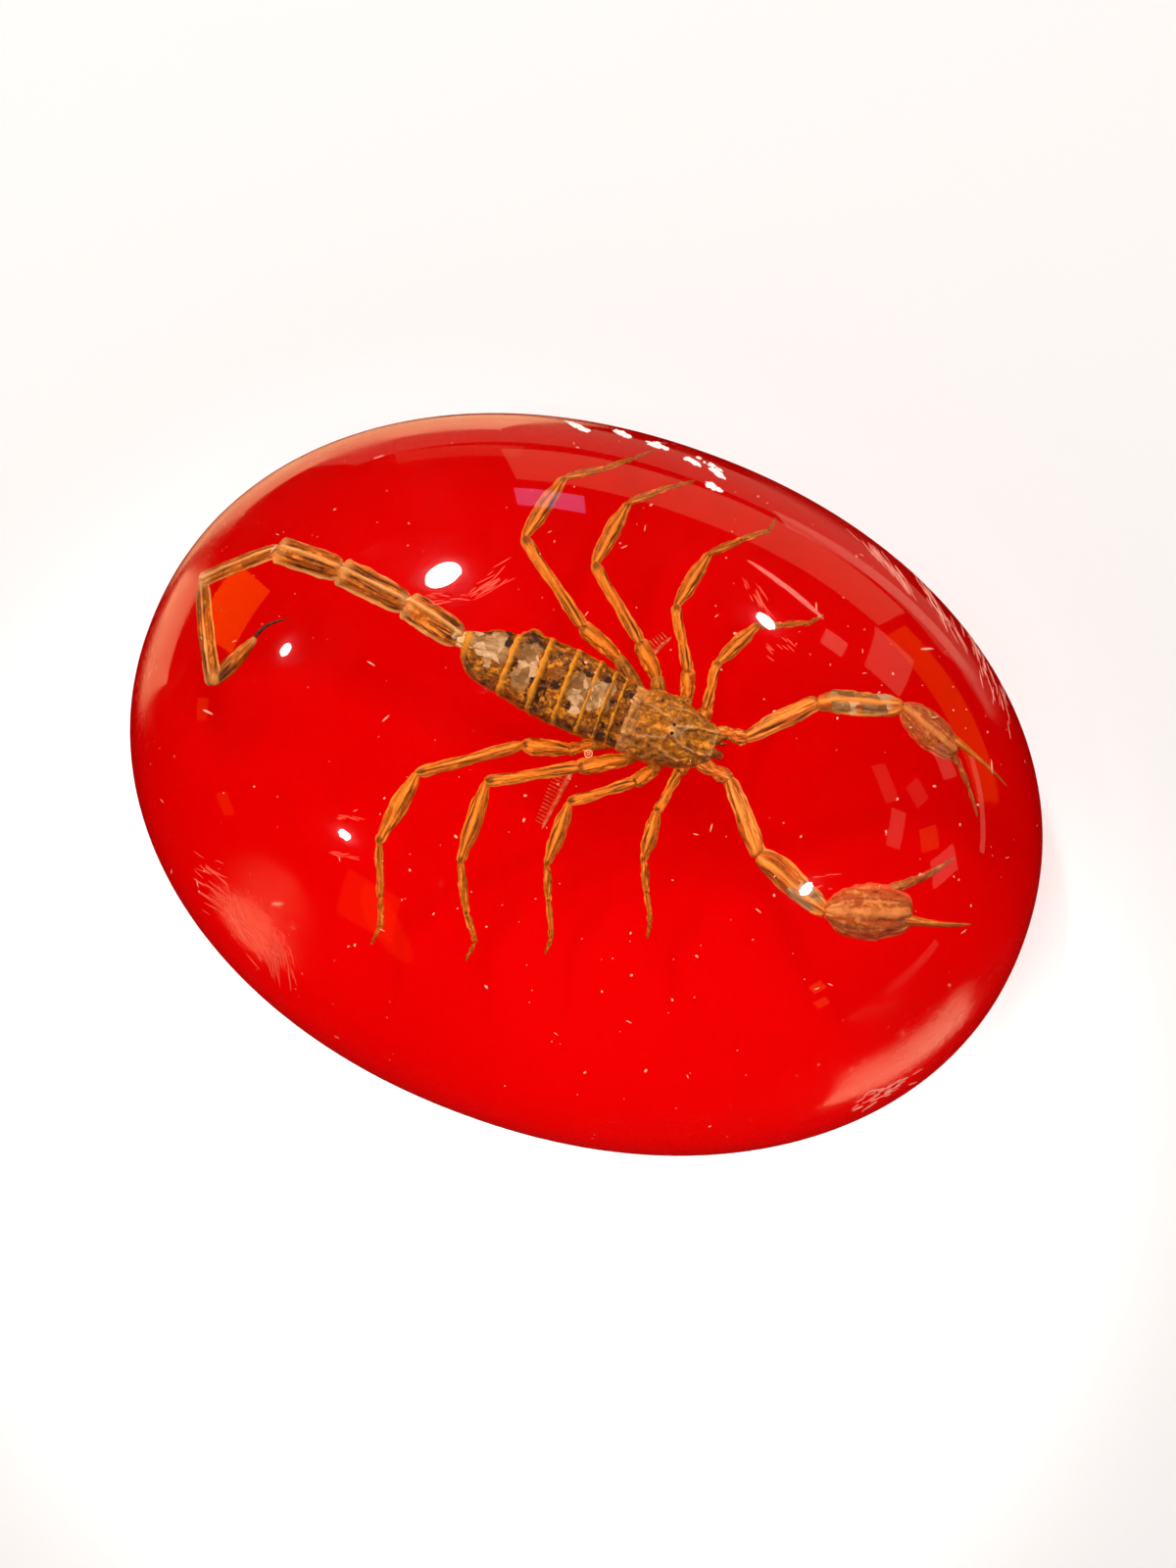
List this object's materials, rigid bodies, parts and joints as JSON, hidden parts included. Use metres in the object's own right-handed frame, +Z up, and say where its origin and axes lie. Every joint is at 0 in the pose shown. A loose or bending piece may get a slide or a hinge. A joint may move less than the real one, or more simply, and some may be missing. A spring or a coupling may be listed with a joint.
{
  "type": "scorpion in resin block",
  "caption": "Pebble-shaped oval resin paperweight: a clear dome with a dried golden scorpion sealed over a flat red resin foot.",
  "frame": {"origin": "on the table under the middle of the oval foot", "axes": "+X along the oval's length towards the scorpion's claws, +Y across it, +Z up"},
  "size_m": [0.084, 0.064, 0.029],
  "materials": {
    "clear_resin": "clear cast polyester resin, buffed, with fine wiping scratches and a satin rim",
    "red_resin": "opaque red pigmented cast resin, buffed at the side and sanded flat below",
    "cuticle": "dried scorpion cuticle, golden brown, waxy, with dark blotches on the back",
    "dark_cuticle": "hard dark brown cuticle of the sting, claws and eyes"
  },
  "bodies": {
    "root": {"clear_dome": "clear_resin", "red_backing": "red_resin"}
  },
  "joints": []
}
